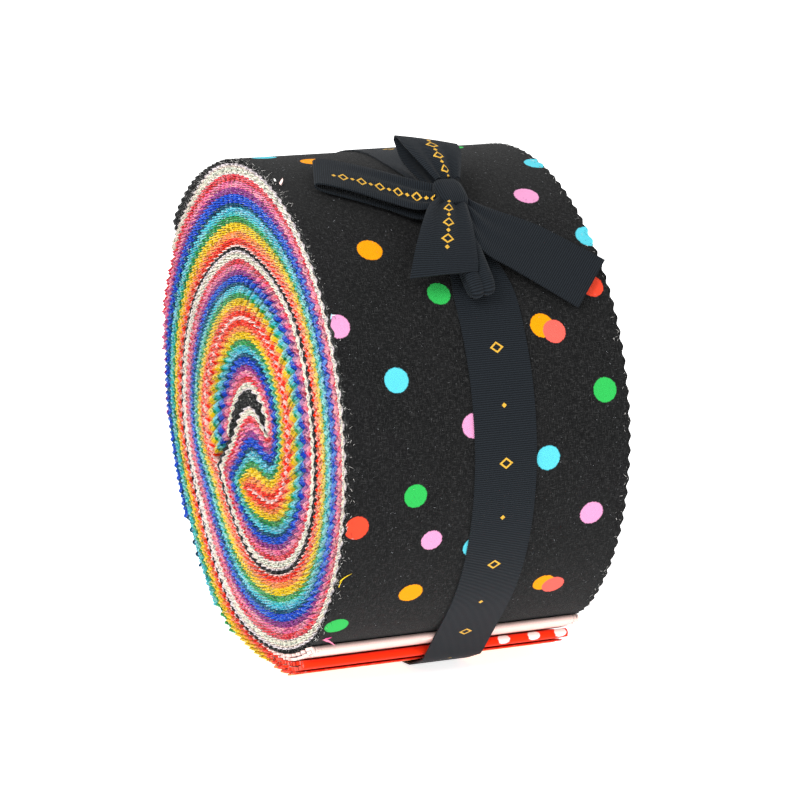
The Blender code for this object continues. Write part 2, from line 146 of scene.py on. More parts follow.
# How unevenly the strips lie: their ends, their edges' place and sway, the sway's length, and their tints
STAGGER = 0.35
EDGE_SHIFT = 0.12
EDGE_SWAY = 0.12
SWAY_LENGTH = (14.0, 30.0)
TINT_SPREAD = 0.12

# The fold at a strip's outer end: reach past the last tooth, and place across the two layers. The folds
# that show under the front are round
FOLD = [(0.10, 0.55), (0.16, 1.0), (0.10, 1.45)]
ROUND_FOLD = [(0.22, 0.22), (0.42, 0.42), (0.55, 0.75), (0.58, 1.0), (0.55, 1.25), (0.42, 1.58), (0.22, 1.78)]
WIDE_FOLDS = {"strip_pale_pink_1": 1.4, "strip_red_orange_3": 2.2}
# Strips that end before the others of their run, in degrees
EARLIER_ENDS = {
    "strip_red_orange_1": -9.0, "strip_red_orange_2": -4.0, "strip_orange_1": -9.0, "strip_orange_2": -4.0,
}
# The black strips puff up near their folds and in the core: the angles between which they come to do so,
# and layers with where they lie then
PUFF_FROM = (472.0, 496.0)
PUFF_LAYERS = [(0, -4.4), (4, 9.4), (14, 15.0), (80, 80.0)]
CORE_FROM = (-70.0, -130.0)
CORE_LAYERS = [(0, 0.0), (4, 7.6), (14, 15.5), (80, 80.0)]
# So do the folds under the front, with their layers counted from the coral side
LOOSE_FROM = (638.0, 662.0)
LOOSE_LAYERS = [(0, 0.0), (2, 8.2), (4, 18.4), (6, 20.4), (8, 21.6), (14, 25.2)]

# Dots on the outermost black cloth: their colours, and degrees clockwise from the top, y and size of each
DOT_COLOURS = {
    "aqua": (0.1, 0.62, 0.74), "orange": (0.97, 0.34, 0.0), "pink": (0.82, 0.33, 0.58),
    "coral": (0.9, 0.07, 0.03), "green": (0.03, 0.49, 0.09), "rose": (0.92, 0.13, 0.1),
}
DOTS = {
    "aqua": [
        (-5.2, -25.0, 5.4), (14.4, 30.5, 5.2), (41.5, 31.2, 5.4), (71.0, -19.5, 5.2), (90.5, 13.0, 5.2),
        (110.0, -2.0, 5.0), (-30.0, -4.0, 4.8),
    ],
    "orange": [
        (4.0, -17.4, 5.4), (41.0, -18.3, 5.4), (121.6, -14.0, 5.2), (123.5, 16.9, 4.8), (62.0, 14.5, 5.2),
        (-15.0, 25.0, 5.2), (-28.4, -2.0, 4.8),
    ],
    "pink": [
        (58.5, -30.0, 5.2), (27.9, 22.2, 5.4), (34.0, 10.4, 5.2), (82.0, -3.5, 5.2), (104.5, 24.0, 5.2),
        (107.0, -12.0, 4.6), (-37.0, 20.0, 5.2), (136.5, 4.5, 5.0),
    ],
    "coral": [(102.0, -29.0, 5.2), (54.0, 28.0, 5.0), (-22.0, 8.0, 5.2), (-40.0, -26.0, 5.0)],
    "green": [
        (130.8, -28.4, 5.2), (53.0, -6.5, 5.0), (77.0, 26.5, 5.2), (96.0, -16.5, 5.0), (-31.0, -14.0, 5.2),
        (-3.0, 18.5, 5.0),
    ],
    "rose": [(124.6, 19.4, 5.0), (63.5, 17.0, 5.0)],
}
DOT_EDGE = 0.25
# How the black cloth's uneven threads stretch along and across it
SLUBS = ((0.8, 4.5), (4.5, 0.8))
# The strip under the front with white spots: how far they lie from its middle, their radius and soft edge
SPOTTED_STRIP = "strip_red_orange_3"
SPOTS = (8.6, 15.5, 22.7, 29.1)
SPOT_RADIUS = 1.4
SPOT_EDGE = 0.2
# The pitch of the weave's and the ribbon's threads, and the size of the small prints
WEAVE_PITCH = 0.36
RIB_PITCH = 0.46
PRINT_SIZE = 2.6
# The cut edges fray and carry painted shade: how far in from the edge both start and are full, and the colour
# of the loose fibres
FRAY_AND_SHADE = (3.4, 1.0)
FLUFF_COLOUR = (0.9, 0.87, 0.83)

# The ribbon as rows of: degrees clockwise from the top, y, height over the roll, width, the way that the
# width runs in degrees from +Y towards clockwise, and then, where they aren't 0, the depth of its pleats,
# how much its middle bulges, and its slide along its width
LEFT_LOOP = [
    (34.6, -1.6, 2.2, 8.0, -70, 0.45, 0.2), (32.4, -5.4, 1.6, 10.6, -76, 0.3, 0.2),
    (28.0, -10.3, 1.2, 11.8, -77, 0.12, 0.1, 0.4), (23.4, -16.2, 1.0, 12.4, -75, 0.0, 0.0, 0.6),
    (19.4, -20.8, 0.9, 12.8, -73, 0.0, 0.0, 0.4), (18.2, -22.2, 1.7, 13.0, -72),
    (18.6, -20.9, 2.5, 12.8, -71, 0.0, 0.0, -0.4), (22.6, -16.2, 3.0, 12.4, -74, 0.05, 0.2, -0.5),
    (27.8, -10.6, 3.5, 11.8, -75, 0.15, 0.3, -0.5), (32.4, -5.7, 4.2, 10.6, -75, 0.35, 0.4, -0.3),
    (34.6, -1.8, 4.9, 8.0, -70, 0.5, 0.3),
]
UPPER_LOOP = [
    (31.2, 2.4, 3.0, 5.0, 0, 0.5), (26.2, 2.4, 3.0, 9.0, 10, 0.3, 0.0, 0.4),
    (21.4, 2.4, 4.0, 12.4, 22, 0.1, 0.0, 0.4), (18.2, 2.6, 5.8, 13.0, 28, 0.0, 0.0, 0.2),
    (17.4, 2.7, 6.9, 13.2, 28), (18.4, 2.6, 8.0, 13.2, 28, 0.0, 0.2),
    (22.0, 2.4, 7.9, 12.2, 22, 0.15, 0.5), (26.6, 2.3, 7.2, 9.0, 10, 0.35, 0.6),
    (31.0, 2.4, 6.2, 5.4, 0, 0.5, 0.3),
]
LOWER_LOOP = [
    (36.6, 1.5, 2.4, 4.8, 0), (45.0, 1.1, 2.0, 5.2, 0),
    (51.6, 1.2, 2.0, 5.6, -4), (56.0, 1.6, 2.1, 5.6, -10),
    (57.3, 1.8, 2.95, 5.2, -12), (56.0, 1.6, 3.8, 5.6, -10),
    (51.6, 1.2, 3.9, 5.6, -4), (45.0, 1.1, 3.9, 5.2, 0),
    (36.6, 1.5, 3.9, 4.8, 0),
]
DOWN_TAIL = [
    (36.6, 0.7, 5.7, 6.2, 4, 0.5, 0.3), (38.8, -0.6, 6.0, 8.2, 7, 0.45, 0.4),
    (43.4, -2.4, 6.0, 10.6, 12, 0.3, 0.5), (48.5, -4.4, 5.6, 12.8, 10, 0.15, 0.4),
    (51.5, -5.5, 5.2, 14.2, 4, 0.1, 0.3), (54.0, -6.5, 4.8, 15.2, -2, 0.05, 0.2),
]
RIGHT_TAIL = [
    (37.2, 3.6, 4.9, 4.6, -62, 0.4, 0.2), (39.4, 4.6, 4.7, 6.4, -60, 0.3, 0.2),
    (42.0, 5.8, 4.4, 9.6, -55, 0.2, 0.2), (44.6, 8.4, 3.7, 12.8, -54, 0.1, 0.15),
    (47.6, 14.2, 2.7, 14.0, -50, 0.03, 0.1), (51.9, 20.6, 1.9, 14.0, -49),
    (56.7, 27.3, 1.5, 13.9, -49),
]
RIBBON_ROW = 8
RIBBON_WIDTH = 13.8
RIBBON_THICKNESS = 0.35
# Lines between two rows, and points on each line
RIBBON_STEPS = 9
RIBBON_ACROSS = 21
PLEATS = 2.5
# The lower loop is folded into two soft rolls: how far round each goes, and its height
LOBE_TURN = 255.0
LOBE_HEIGHT = 0.6
# The knot: degrees clockwise from the top, y and height, its size, and how square its section is
KNOT_PLACE = (35.0, 1.5, 4.4)
KNOT_SIZE = (7.2, 6.0, 5.2)
ROUNDNESS = 0.45
# The ribbon on it: how far round it goes, how its edges curl in and tuck under, its small waves, its length
KNOT_WRAP = 150.0
KNOT_LINES = 61
KNOT_CURL = 135.0
KNOT_TUCK = 0.38
KNOT_WAVE = 0.04
# The band: its middle, height over the cloth, lines and length, and the angle where the black cloth starts
# to show
BAND_MIDDLE_Y = 3.3
BAND_HEIGHT = 0.22
BAND_LINES = 240
BAND_FROM = 312.0
# Where the knot gathers it: middle, how far it is tight and loose again, its width; its shift and pleats
BAND_GATHER = (33.0, 3.0, 26.0, 6.4)
BAND_SHIFT = 1.2
PLEAT_DEPTH = 0.55
# The gold marks' step on the bow and on the band, the half length and width of the diamonds, their line's
# width, the dots' radius, and how far the left loop's marks lie from its middle
MARK_STEP = 4.2
BAND_MARK_STEP = 24.0
DIAMOND = (1.0, 1.25)
MARK_LINE = 0.19
GOLD_DOT = 0.5
LEFT_MARKS = -1.6

# Loose fibres: how many stand on the cut edges near the camera and away from it, fringe the black cloth's
# rims, and lie on it, with the angles where they do, their width and their sections
FIBRES = {"near": 1200, "far": 1500, "rims": 3400, "lint": 700}
RIM_ANGLES = (316.0, 512.0)
LINT_ANGLES = (320.0, 495.0)
FIBRE_WIDTH = 0.065
FIBRE_SECTIONS = 5
# Scraps of thread on the cloth: degrees clockwise from the top, y, length, width, lie, colour
SCRAPS = [
    (136.0, -30.2, 2.6, 0.7, 20, (0.9, 0.25, 0.4)), (135.4, -29.8, 1.6, 0.5, -10, (0.8, 0.1, 0.3)),
    (115.5, -31.2, 2.8, 0.25, 75, (0.9, 0.6, 0.02)), (117.0, -31.0, 1.6, 0.2, 110, (0.9, 0.6, 0.02)),
    (18.0, -30.2, 1.4, 0.9, 40, (0.95, 0.7, 0.66)), (16.2, -30.4, 1.2, 0.5, 100, (0.95, 0.93, 0.9)),
    (57.0, -31.3, 1.4, 0.3, 60, (0.4, 0.7, 0.85)), (56.0, -30.9, 0.9, 0.25, -30, (0.85, 0.9, 0.95)),
]


def smooth(places, values, at):
    """A curve through values (rows) at the given places, read at the places in at."""
    places = np.asarray(places, float)
    values = np.asarray(values, float)
    slopes = np.gradient(values, places, axis=0)
    row = np.clip(np.searchsorted(places, at, side="right") - 1, 0, len(places) - 2)
    step = (places[row + 1] - places[row]).reshape(-1, *[1] * (values.ndim - 1))
    t = ((at - places[row]) / (places[row + 1] - places[row])).reshape(step.shape)
    return (
        (1 + 2 * t) * (1 - t) ** 2 * values[row]
        + t * (1 - t) ** 2 * step * slopes[row]
        + t * t * (3 - 2 * t) * values[row + 1]
        + t * t * (t - 1) * step * slopes[row + 1]
    )


def ramp(value, start, end):
    """From 0 at start to 1 at end, without a corner at either."""
    t = np.clip((np.asarray(value, float) - start) / (end - start), 0.0, 1.0)
    return t * t * (3 - 2 * t)


def distance_along(line):
    return np.concatenate([[0.0], np.cumsum(np.linalg.norm(np.diff(line, axis=0), axis=1))])


def ellipse_radius(degrees):
    turn = np.radians(degrees)
    return 1.0 / np.hypot(np.cos(turn) / FRONT_ELLIPSE[0], np.sin(turn) / FRONT_ELLIPSE[1])


def whole_outer_side():
    front = np.arange(FRONT_ANGLES[0], FRONT_ANGLES[1] + 1, FRONT_STEP)
    return OUTER_SIDE + list(zip(front, ellipse_radius(front))) + OUTER_SIDE_PAST_FRONT


def radius(table, degrees):
    rows = np.array(table, float)
    return smooth(rows[:, 0], rows[:, 1], np.atleast_1d(np.asarray(degrees, float)))


def at_angle(degrees, distance):
    turn = np.radians(np.atleast_1d(degrees))
    return np.stack([distance * np.cos(turn), distance * np.sin(turn)], axis=-1)


def outer_radius(degrees):
    return radius(whole_outer_side(), degrees)


def inner_radius(degrees):
    """The coral side: the meeting line of the core at first, and then the black side of the turn below."""
    below = outer_radius(np.maximum(degrees - 360.0, OUTER_SIDE[0][0]))
    core = radius(INNER_SIDE, np.minimum(degrees, INNER_SIDE[-1][0]))
    return np.where(degrees < JOINED_FROM, core, below)


def meeting_line(share):
    rows = np.array(MEETING_LINE, float)
    reach = distance_along(rows)
    return smooth(reach / reach[-1], rows, share)


def turn_sides(degrees):
    """The black and the coral side of the turns."""
    inner = inner_radius(degrees)
    even = ramp(degrees, *EVEN_FROM)
    outer = outer_radius(degrees) * (1 - even) + (inner + EVEN_THICKNESS) * even
    return at_angle(degrees, outer), at_angle(degrees, inner)


def stack_lines():
    """Lines across the stack from its inner end outwards: points on the black side, points on the coral side,
    and the angle on the outer side, which before the left bend is only a count."""
    core = np.array(CORE_RUNGS, float)
    bend = np.array(BEND_RUNGS, float)
    turn = np.arange(bend[-1, 0] + TURN_STEP, OUTER_SIDE_PAST_FRONT[-1][0], TURN_STEP)
    turn_black, turn_coral = turn_sides(turn)
    core_coral = at_angle(core[:, 1], radius(INNER_SIDE, core[:, 1]))
    bend_coral = at_angle(bend[:, 1], radius(INNER_SIDE, bend[:, 1]))
    bend_black = at_angle(bend[:, 0], outer_radius(bend[:, 0]))
    black = np.concatenate([meeting_line(core[:, 0]), bend_black, turn_black])
    coral = np.concatenate([core_coral, bend_coral, turn_coral])
    before = OUTER_SIDE[0][0] - TURN_STEP * np.arange(len(core) - 1, -1, -1)
    angles = np.concatenate([before, bend[:, 0], turn])
    rungs = np.concatenate([black, coral], axis=1)
    reach = np.concatenate([[0.0], np.cumsum(np.sqrt(np.linalg.norm(np.diff(rungs, axis=0), axis=1)))])
    fine = [np.linspace(a, b, LINES_PER_STEP, endpoint=False) for a, b in zip(reach[:-1], reach[1:])]
    fine = np.concatenate(fine + [reach[-1:]])
    lines = smooth(reach, rungs, fine)
    fine_angles = np.interp(fine, reach, angles)
    past_bend = fine_angles > bend[-1, 0] + TURN_STEP
    lines[past_bend, :2], lines[past_bend, 2:] = turn_sides(fine_angles[past_bend])
    return lines[:, :2], lines[:, 2:], fine_angles


def share_ended(angles):
    """The share of the stack, from its black side, whose strips have ended by each angle."""
    ended = np.zeros(len(angles))
    for _, count, end, *_ in RUNS:
        ended += count / STRIPS * (angles > end)
    return ended


def press_flat(black, coral, angles):
    """Presses the outermost turn's layers together where they would reach below the floor."""
    bottom = -FLAT_SPOT_DROP + CLOTH_CLEARANCE
    outermost = coral[:, 1] + (black[:, 1] - coral[:, 1]) * (1 - share_ended(angles))
    low = (angles > FLOOR_FROM) & (outermost < bottom)
    kept = np.ones(len(angles))
    kept[low] = (bottom - coral[low, 1]) / (outermost[low] - coral[low, 1])
    near = np.abs(angles[:, None] - angles[None, :]) < PRESS_SPREAD
    kept = np.where(near, kept[None, :], 1.0).min(axis=1)
    kept = np.array([kept[row].mean() for row in near])
    return coral + (black - coral) * kept[:, None]


BLACK_LINE, CORAL_LINE, ANGLES = stack_lines()
BLACK_LINE = press_flat(BLACK_LINE, CORAL_LINE, ANGLES)
LINE_NUMBERS = np.arange(len(ANGLES))


def place(points):
    """Millimetres from the roll's centre, in rows of x, y and z, as metres in the model's frame."""
    return (np.asarray(points, float) + (-BOX_MIDDLE_X, 0.0, FLAT_SPOT_DROP)) * MM


def layer_reach(layer):
    """The distance along a layer, counted from the black side in layers, at each of the stack's lines."""
    return distance_along(BLACK_LINE + (CORAL_LINE - BLACK_LINE) * layer / LAYERS)


def on_layer(where, layer):
    """Points at places counted in the stack's lines, and at layers counted from its black side."""
    row = np.clip(np.floor(where).astype(int), 0, len(ANGLES) - 2)
    t = (where - row)[:, None]
    black = BLACK_LINE[row] * (1 - t) + BLACK_LINE[row + 1] * t
    coral = CORAL_LINE[row] * (1 - t) + CORAL_LINE[row + 1] * t
    angle = np.interp(where, LINE_NUMBERS, ANGLES)
    puffed = np.interp(layer, *np.array(PUFF_LAYERS).T) - layer
    cored = np.interp(layer, *np.array(CORE_LAYERS).T) - layer
    layer = layer + puffed * ramp(angle, *PUFF_FROM) + cored * ramp(angle, *CORE_FROM)
    loose = np.interp(LAYERS - layer, *np.array(LOOSE_LAYERS).T) - (LAYERS - layer)
    layer = layer - np.maximum(loose, 0.0) * ramp(angle, *LOOSE_FROM)
    return black + (coral - black) * layer[:, None] / LAYERS


def in_scene(name, data):
    made = bpy.data.objects.new(name, data)
    bpy.context.scene.collection.objects.link(made)
    return made


def set_inputs(node, values):
    for key, value in values.items():
        node.inputs[key].default_value = value


def new_piece(name, points, faces, looks, tint, face_looks=None, uv=None, sharp=50.0):
    """A mesh piece that rides on the roll, from points in millimetres, four-cornered faces, and a tint and UV
    by point."""
    mesh = bpy.data.meshes.new(name)
    faces = np.asarray(faces, np.int32)
    mesh.vertices.add(len(points))
    mesh.vertices.foreach_set("co", place(points).ravel())
    mesh.loops.add(faces.size)
    mesh.loops.foreach_set("vertex_index", faces.ravel())
    mesh.polygons.add(len(faces))
    mesh.polygons.foreach_set("loop_start", np.arange(len(faces), dtype=np.int32) * faces.shape[1])
    mesh.update(calc_edges=True)
    for look in looks:
        mesh.materials.append(look)
    if face_looks is not None:
        mesh.polygons.foreach_set("material_index", np.asarray(face_looks, np.int32))
    if uv is not None:
        layer = mesh.uv_layers.new(name="cloth")
        layer.uv.foreach_set("vector", np.asarray(uv, np.float32)[faces.ravel()].ravel())
    colours = mesh.attributes.new("tint", "FLOAT_COLOR", "POINT")
    colour = np.ones((len(points), 4), np.float32)
    colour[:, :3] = tint
    colours.data.foreach_set("color", colour.ravel())
    mesh.shade_smooth()
    mesh.set_sharp_from_angle(angle=np.radians(sharp))
    mesh.validate()
    made = in_scene(name, mesh)
    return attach(made, "root")


def closed_sheet(outside, inside, closed_loop=False):
    """Points and faces of a thin closed sheet between two grids of the same shape, with each face's kind: 0
    outside, 1 edge, 2 inside."""
    rows, columns = outside.shape[:2]
    ring = 2 * columns
    points = np.concatenate([outside, inside[:, ::-1]], axis=1)
    corner = np.arange(ring)
    last = rows if closed_loop else rows - 1
    here = np.arange(last)[:, None] * ring
    there = (np.arange(last)[:, None] + 1) % rows * ring
    after = (corner + 1) % ring
    faces = np.stack([here + corner, there + corner, there + after, here + after], axis=-1).reshape(-1, 4)
    kind = np.where(corner < columns - 1, 0, np.where(corner == columns - 1, 1, 2))
    kind[-1] = 1
    kinds = np.tile(kind, last)
    if not closed_loop:
        caps = []
        for base in (0, (rows - 1) * ring):
            for j in range(columns - 1):
                cap = [base + j, base + j + 1, base + ring - 2 - j, base + ring - 1 - j]
                caps.append(cap if base == 0 else cap[::-1])
        faces = np.concatenate([faces, caps])
        kinds = np.concatenate([kinds, np.ones(len(caps), int)])
    return points.reshape(-1, 3), faces, kinds


def teeth(layer, start, end_angle, phase, depth, stations):
    """A layer's stations on its teeth, from its inner end to its fold: distance along it, how far in from the
    edge, and place counted in the stack's lines. The layer's length up to its fold comes last."""
    reach = layer_reach(layer)
    end = np.interp(end_angle, ANGLES, reach)
    step = TOOTH_PITCH / stations
    numbers = np.arange(np.ceil((start - phase) / step), np.floor((end - phase) / step) + 1)
    along = phase + numbers * step
    inset = depth * np.sin(np.pi * numbers / stations) ** 2
    return along, inset, np.interp(along, reach, LINE_NUMBERS), end


def strip(name, run, number, end_angle, looks, tint, random, rows_across):
    """One strip folded in half at its outer end, as a closed sheet on two neighbouring layers."""
    first = 2.0 * number
    depth = ROUND_TEETH.get(run, TOOTH_DEPTH)
    stations = ROUND_STATIONS if run in ROUND_TEETH else 2
    margin = (1 - CLOTH_SHARE) / 2
    start = random.uniform(0, STAGGER)
    end_angle = end_angle + random.uniform(-STAGGER, STAGGER)
    jitter = LOOSE_TEETH.get(run, PHASE_JITTER)
    phase = start + random.normal() * jitter
    out, out_inset, out_where, out_end = teeth(first + 0.5, start, end_angle, phase, depth, stations)
    phase += LEG_PHASE + (random.normal() * jitter if run in ROUND_TEETH else 0.0)
    back, back_inset, back_where, back_end = teeth(first + 1.5, start, end_angle, phase, depth, stations)
    fold = np.array(ROUND_FOLD if first >= LAYERS - LOOSE_LAYERS[-1][0] else FOLD)
    fold[:, 0] *= WIDE_FOLDS.get(name, 1.0)
    middle = layer_reach(first + 1.0)
    fold_end = np.interp(end_angle, ANGLES, middle)
    fold_where = np.interp(fold_end + fold[:, 0], middle, LINE_NUMBERS)
    fold_root = np.interp(np.full(len(fold), fold_end), middle, LINE_NUMBERS)
    counts = [len(out), len(fold), len(back)]
    outer = np.repeat([first + margin, first, first + 2 - margin], counts)
    outer[len(out):-len(back)] += fold[:, 1]
    inner = np.repeat([first + 1 - margin, first + 1, first + 1 + margin], counts)
    outside = on_layer(np.concatenate([out_where, fold_where, back_where[::-1]]), outer)
    inside = on_layer(np.concatenate([out_where, fold_root, back_where[::-1]]), inner)
    inset = np.concatenate([out_inset, np.full(len(fold), depth / 2), back_inset[::-1]])
    along = np.concatenate([out, out_end + fold[:, 0], out_end + back_end - back[::-1]])
    nose = distance_along(outside)
    nose -= nose[len(out) + len(fold) // 2]
    shift = random.normal() * EDGE_SHIFT
    sway = EDGE_SWAY * np.sin(along / random.uniform(*SWAY_LENGTH) + random.uniform(0, 2 * np.pi))
    near = -HALF_WIDTH + inset + shift + sway
    far = HALF_WIDTH - inset + shift + sway
    y = near[:, None] + (far - near)[:, None] * np.linspace(0.0, 1.0, rows_across)
    grids = [np.stack([side[:, :1] + 0 * y, y, side[:, 1:] + 0 * y], axis=-1) for side in (outside, inside)]
    points, faces, kinds = closed_sheet(*grids)
    counted = nose if name == SPOTTED_STRIP else along
    uv = np.stack([np.repeat(counted, 2 * rows_across), points[:, 1]], axis=-1)
    made = new_piece(name, points, faces[:, ::-1], looks, tint, kinds, uv)
    return made


class Nodes:
    """A short way to build a material: each call makes a node and links its inputs."""

    def __init__(self, name):
        self.material = bpy.data.materials.new(name)
        self.material.use_nodes = True
        self.tree = self.material.node_tree
        self.shader = self.tree.nodes["Principled BSDF"]

    def link(self, value, socket):
        if isinstance(value, bpy.types.NodeSocket):
            self.tree.links.new(value, socket)
        else:
            socket.default_value = value

    def add(self, kind, inputs, output=0, **settings):
        node = self.tree.nodes.new(kind)
        for key, value in settings.items():
            setattr(node, key, value)
        for key, value in inputs.items():
            self.link(value, node.inputs[key])
        return node.outputs[output]

    def math(self, operation, *values):
        return self.add("ShaderNodeMath", dict(enumerate(values)), operation=operation)

    def noise(self, vector, scale, detail=2.0, roughness=0.5):
        inputs = {"Vector": vector, "Scale": scale, "Detail": detail, "Roughness": roughness}
        return self.add("ShaderNodeTexNoise", inputs)

    def cells(self, vector, scale, randomness):
        return self.add("ShaderNodeTexVoronoi", {"Vector": vector, "Scale": scale, "Randomness": randomness})

    def mix(self, share, first, second, mode="MIX"):
        inputs = {0: share, 6: first, 7: second}
        return self.add("ShaderNodeMix", inputs, 2, data_type="RGBA", blend_type=mode)

    def ramp(self, value, low, high, start=0.0, end=1.0):
        """value carried from low..high to start..end, smoothly and no further."""
        inputs = {0: value, 1: low, 2: high, 3: start, 4: end}
        return self.add("ShaderNodeMapRange", inputs, interpolation_type="SMOOTHSTEP")

    def part(self, vector, axis):
        return self.add("ShaderNodeSeparateXYZ", {0: vector}, axis)

    def vector(self, operation, vector, by, output=0):
        return self.add("ShaderNodeVectorMath", {0: vector, 1: by}, output, operation=operation)

    def wave(self, value, pitch):
        return self.math("SINE", self.math("MULTIPLY", value, 2 * np.pi / pitch))

    def shaded(self, colour, height, spread, least):
        """The colour with painted shade, darker where the cloth's threads lie lower."""
        value = self.math("MULTIPLY_ADD", height, spread, least)
        grey = self.add("ShaderNodeCombineXYZ", {0: value, 1: value, 2: value})
        return self.mix(1.0, colour, grey, "MULTIPLY")

    def spot(self, base, cloth, middle, size, soft, uneven, colour):
        """The base with a round spot on it, whose edge is soft and a little uneven."""
        edge = self.math("ADD", self.vector("DISTANCE", cloth, (*middle, 0.0), 1), uneven)
        return self.mix(self.ramp(edge, size + soft / 2, size - soft / 2), base, solid(colour))

    def cloth_place(self):
        """Millimetres along and across the cloth."""
        return self.add("ShaderNodeUVMap", {}, uv_map="cloth")

    def tint(self):
        return self.add("ShaderNodeAttribute", {}, attribute_name="tint", attribute_type="GEOMETRY")

    def finish(self, colour, height, strength, depth, roughness, specular, sheen):
        """Links the colour and the bump, in millimetres, and sets what is the same all over."""
        inputs = {"Strength": strength, "Distance": depth * MM, "Height": height}
        self.link(self.add("ShaderNodeBump", inputs), self.shader.inputs["Normal"])
        self.link(colour, self.shader.inputs["Base Color"])
        self.link(roughness, self.shader.inputs["Roughness"])
        gloss = {"Specular IOR Level": specular, "Sheen Weight": sheen, "Sheen Roughness": 0.45}
        set_inputs(self.shader, gloss)
        return self.material


def solid(colour):
    return (*colour, 1.0)


def weave(n, cloth):
    """Crossing threads of a plain weave, from 0 to 1."""
    waves = [n.wave(n.part(cloth, axis), WEAVE_PITCH) for axis in (0, 1)]
    return n.math("MULTIPLY_ADD", n.math("MULTIPLY", *waves), 0.5, 0.5)


def small_print(n, cloth, kind):
    """Where a small print lies on a cloth, from 0 to 1."""
    if kind == "dots":
        return n.ramp(n.cells(cloth, 1 / PRINT_SIZE, 0.1), 0.26, 0.22)
    if kind == "sprigs":
        return n.ramp(n.cells(cloth, 1 / PRINT_SIZE, 0.9), 0.26, 0.2)
    stripes = [n.ramp(n.wave(n.part(cloth, axis), PRINT_SIZE), 0.1, 0.3) for axis in (0, 1)]
    if kind == "stripes":
        return stripes[1]
    return n.math("MULTIPLY", n.math("ADD", *stripes), 0.5)


def cotton(name, colour, back, kind, mottle, print_strength=0.6):
    """A quilting cotton with its small print, its weave, and cut edges with shadows and pale fibres."""
    n = Nodes(name)
    cloth = n.cloth_place()
    base = solid(colour)
    if kind != "plain":
        mask = n.math("MULTIPLY", small_print(n, cloth, kind), print_strength)
        base = n.mix(mask, base, solid(back))
    base = n.mix(n.ramp(n.noise(cloth, 0.9, 3.0, 0.6), 0.4, 0.75, 0.0, mottle), base, solid(back))
    threads = weave(n, cloth)
    base = n.mix(1.0, base, n.tint(), "MULTIPLY")
    base = n.shaded(base, threads, 0.22, 0.84)
    cut = n.ramp(n.math("ABSOLUTE", n.part(cloth, 1)), HALF_WIDTH - FRAY_AND_SHADE[0], HALF_WIDTH - FRAY_AND_SHADE[1])
    # Painted shade: dark speckles near the cut edges, standing for the gaps between the teeth
    elsewhere = n.vector("ADD", cloth, (7.0, 7.0, 7.0))
    shadow = n.ramp(n.noise(elsewhere, 1.7, 2.0, 0.6), 0.52, 0.6, 0.0, 0.75)
    dark = n.mix(1.0, base, solid((0.1, 0.09, 0.13)), "MULTIPLY")
    base = n.mix(n.math("MULTIPLY", shadow, cut), base, dark)
    fibres = n.ramp(n.noise(cloth, 2.3, 3.0, 0.7), 0.58, 0.66, 0.0, 0.4)
    base = n.mix(n.math("MULTIPLY", fibres, cut), base, solid(FLUFF_COLOUR))
    return n.finish(base, threads, 0.5, 0.1, 0.95, 0.1, 0.06)


def on_front(clock):
    """x, z and the angle of places on the front's ellipse, from degrees clockwise from the top."""
    turn = np.radians(clock)
    x, z = FRONT_ELLIPSE[0] * np.sin(turn), FRONT_ELLIPSE[1] * np.cos(turn)
    return x, z, np.degrees(np.arctan2(z, x)) + 360.0


def dotted_black():
    """The outermost cloth: black cotton with scattered dots, lint, and the grey of its worn fibres."""
    n = Nodes("cotton_black_dotted")
    cloth = n.cloth_place()
    threads = weave(n, cloth)
    slubs = [n.noise(n.vector("MULTIPLY", cloth, (*way, 1.0)), 1.0, 3.0, 0.75) for way in SLUBS]
    heather = n.ramp(n.math("MAXIMUM", *slubs), 0.5, 0.78)
    cloud = n.ramp(n.noise(cloth, 0.12, 3.0, 0.6), 0.3, 0.75)
    base = n.mix(heather, solid((0.005, 0.0052, 0.0054)), solid((0.06, 0.06, 0.06)))
    base = n.mix(n.math("MULTIPLY", cloud, 0.3), base, solid((0.015, 0.015, 0.0155)))
    lint = n.ramp(n.cells(cloth, 0.7, 1.0), 0.06, 0.025)
    base = n.mix(n.math("MULTIPLY", lint, 0.35), base, solid((0.5, 0.5, 0.52)))
    uneven = n.math("MULTIPLY_ADD", n.noise(cloth, 2.2, 2.0), 0.5, -0.25)
    reach = layer_reach(0.5)
    for colour, dots in DOTS.items():
        for clock, y, size in dots:
            along = float(np.interp(on_front(clock)[2], ANGLES, reach))
            base = n.spot(base, cloth, (along, y), size / 2, DOT_EDGE, uneven, DOT_COLOURS[colour])
    base = n.shaded(base, threads, 0.3, 0.78)
    return n.finish(base, threads, 0.6, 0.12, 0.95, 0.09, 0.05)


def spotted_red():
    """Red cotton with white spots along its fold's far half."""
    n = Nodes("cotton_red_spotted")
    cloth = n.cloth_place()
    threads = weave(n, cloth)
    base = solid(next(run[3] for run in RUNS if run[0] == "red_orange"))
    uneven = n.math("MULTIPLY_ADD", n.noise(cloth, 1.5, 2.0), 0.5, -0.25)
    for y in SPOTS:
        base = n.spot(base, cloth, (0.1, y), SPOT_RADIUS, SPOT_EDGE, uneven, (0.93, 0.92, 0.9))
    base = n.shaded(base, threads, 0.15, 0.9)
    return n.finish(base, threads, 0.4, 0.1, 0.95, 0.1, 0.06)


